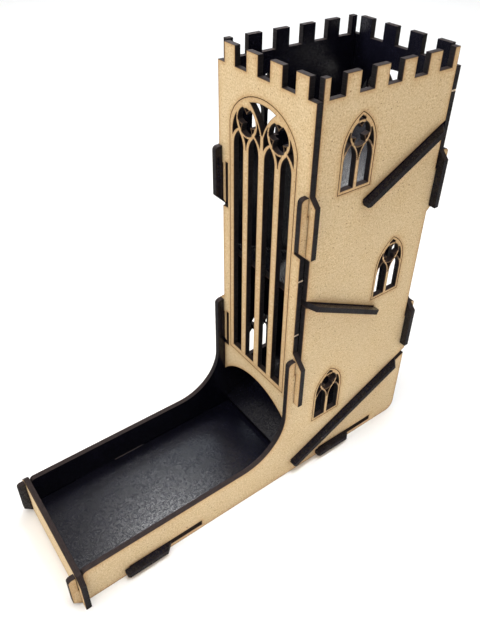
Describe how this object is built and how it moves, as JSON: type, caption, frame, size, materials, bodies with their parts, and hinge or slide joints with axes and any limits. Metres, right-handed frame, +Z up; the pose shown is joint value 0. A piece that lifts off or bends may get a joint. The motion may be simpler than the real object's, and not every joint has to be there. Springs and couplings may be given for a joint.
{
  "type": "dice tower",
  "caption": "Tabletop dice tower of hooked-together flat boards: battlemented shaft with gothic windows, sloping ramps inside, and a walled tray for the rolled dice.",
  "frame": {"origin": "on the table, under the middle of the whole tower and tray", "axes": "+Z up, +Y from the tray towards the tower's back, +X to the right of someone facing the tower's back from the tray"},
  "size_m": [0.0764, 0.227, 0.2363],
  "materials": {
    "raw_board": "matte",
    "black_board": "satin"
  },
  "bodies": {
    "frame": {"right_side_panel": "raw_board", "left_side_panel": "raw_board", "tray_floor": "black_board", "upper_ramp": "black_board", "middle_ramp": "black_board", "lower_ramp": "black_board"},
    "front": {"front_panel": "raw_board"},
    "back": {"back_panel": "raw_board"},
    "end_wall": {"tray_end_wall": "raw_board"}
  },
  "joints": [
    {"name": "front_panel_lift", "type": "slide", "parent": "frame", "child": "front", "axis": [0, 0, 1], "range_m": [0, 0.0308]},
    {"name": "back_panel_lift", "type": "slide", "parent": "frame", "child": "back", "axis": [0, 0, 1], "range_m": [0, 0.0308]},
    {"name": "end_wall_lift", "type": "slide", "parent": "frame", "child": "end_wall", "axis": [0, 0, 1], "range_m": [0, 0.024]}
  ]
}
